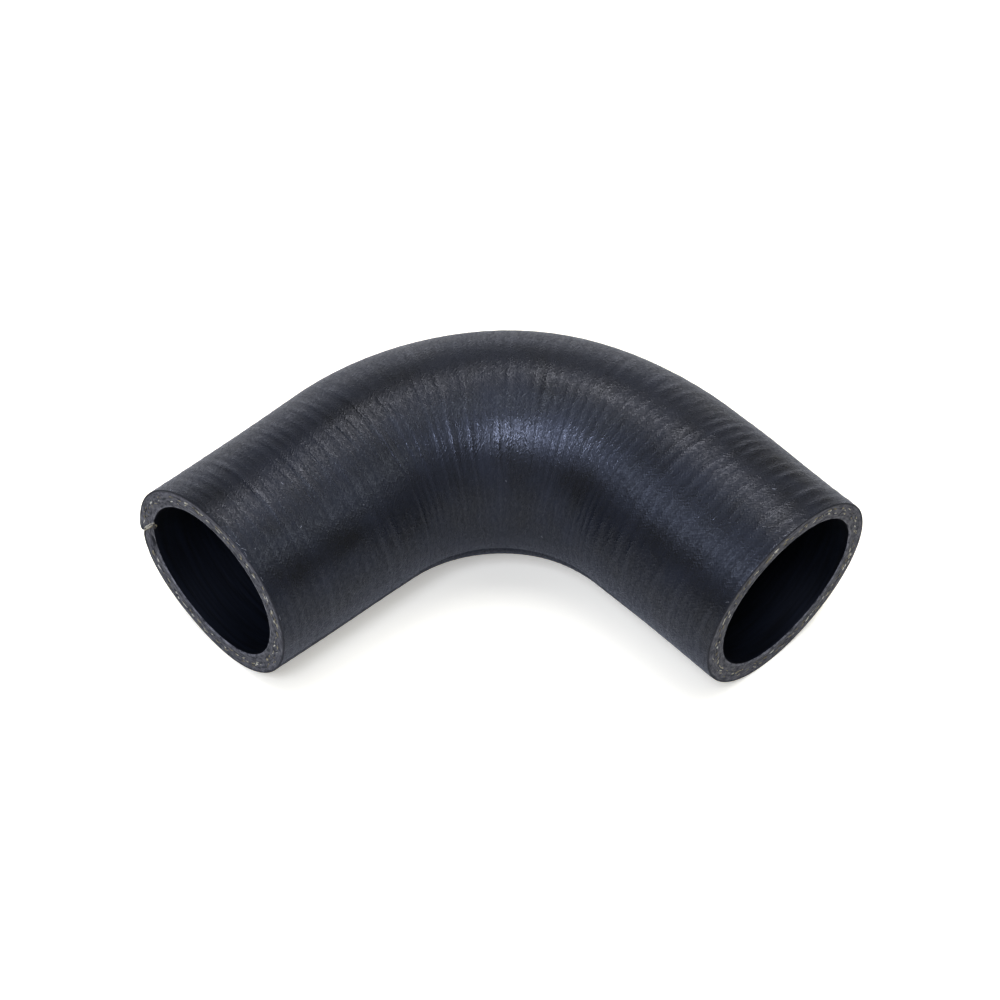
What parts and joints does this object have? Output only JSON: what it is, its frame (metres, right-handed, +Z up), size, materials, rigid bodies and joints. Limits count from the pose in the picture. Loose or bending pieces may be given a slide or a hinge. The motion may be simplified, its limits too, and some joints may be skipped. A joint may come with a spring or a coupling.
{
  "type": "water pump hose",
  "caption": "Moulded rubber coolant elbow with a quarter bend, two straight legs of unlike length and an open bore with knife-cut ends, one of them nicked.",
  "frame": {"origin": "on the floor under the middle of the bounding box, with the hose lying on its side", "axes": "+X along the nicked leg towards its cut end, +Y along the plain leg towards its cut end, +Z up across the bend's plane"},
  "size_m": [0.1126, 0.1094, 0.0502],
  "materials": {
    "rubber": "cured black rubber with a satin, lightly ridged skin and matt knife-cut ends"
  },
  "bodies": {
    "root": {"moulded_hose": "rubber"}
  },
  "joints": []
}
